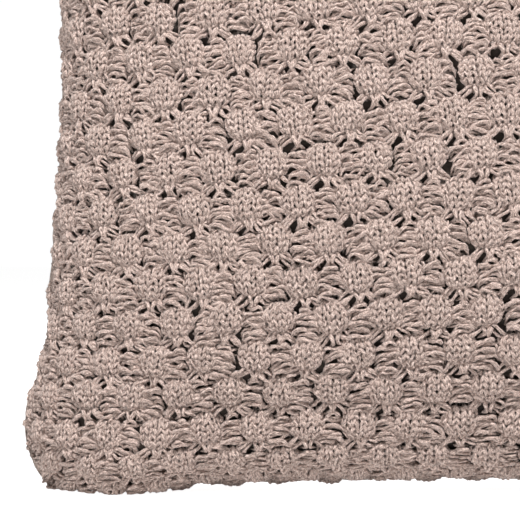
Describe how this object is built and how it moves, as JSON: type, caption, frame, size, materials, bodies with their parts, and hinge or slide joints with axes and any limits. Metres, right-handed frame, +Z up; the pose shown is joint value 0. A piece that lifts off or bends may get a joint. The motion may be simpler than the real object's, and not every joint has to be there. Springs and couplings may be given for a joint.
{
  "type": "throw pillow",
  "caption": "Square chunky-knit throw pillow with a lined bubble-stitch front, plain woven back, zip opening and fibre-filled insert.",
  "frame": {"origin": "on the floor under the middle of the pillow, in the plane of its side seams sideways and front to back", "axes": "+X to the pillow's right as seen from its knitted front, +Y from the knitted front to the zipped back, +Z up as it stands on its lower edge"},
  "size_m": [0.4996, 0.1547, 0.4875],
  "materials": {
    "yarn_knit": "matt heathered chunky yarn, bubble-stitch knit",
    "lining_cloth": "smooth plain cotton lining",
    "back_cloth": "matt plain-weave cotton",
    "seam_thread": "matt polyester sewing thread and overlocked edges",
    "zip_tape": "fine herringbone polyester tape",
    "zip_nylon": "satin nylon coil",
    "zip_metal": "satin nickel plating",
    "label_satin": "satin label tape, blank",
    "casing_cloth": "plain white cotton casing",
    "fibre": "loose polyester fibre"
  },
  "bodies": {
    "pillow": {"cover_front_knit": "yarn_knit", "cover_front_lining": "lining_cloth", "cover_back_upper": "back_cloth", "cover_back_lower": "back_cloth", "seam_left": "seam_thread", "seam_right": "seam_thread", "seam_bottom": "seam_thread", "seam_top": "seam_thread", "zip_tape_upper": "zip_tape", "zip_tape_lower": "zip_tape", "zip_coil_upper": "zip_nylon", "zip_coil_lower": "zip_nylon", "zip_top_stop_upper": "zip_metal", "zip_top_stop_lower": "zip_metal", "zip_bottom_stop": "zip_metal", "zip_topstitch_upper": "seam_thread", "zip_topstitch_lower": "seam_thread", "zip_bartack_left": "seam_thread", "zip_bartack_right": "seam_thread", "care_label": "label_satin", "insert_casing_front": "casing_cloth", "insert_casing_back": "casing_cloth", "insert_closing_seam": "seam_thread", "fibre_fill": "fibre"},
    "slider": {"zip_slider": "zip_metal"},
    "pull": {"zip_pull": "zip_metal"}
  },
  "joints": [
    {"name": "zip_slide", "type": "slide", "parent": "pillow", "child": "slider", "axis": [-1, 0, 0], "range_m": [0, 0.3205]},
    {"name": "pull_swing", "type": "hinge", "parent": "slider", "child": "pull", "pos_m": [0.16025, 0.05763, 0.062], "axis": [1, 0, 0], "range_deg": [0, 150]}
  ]
}
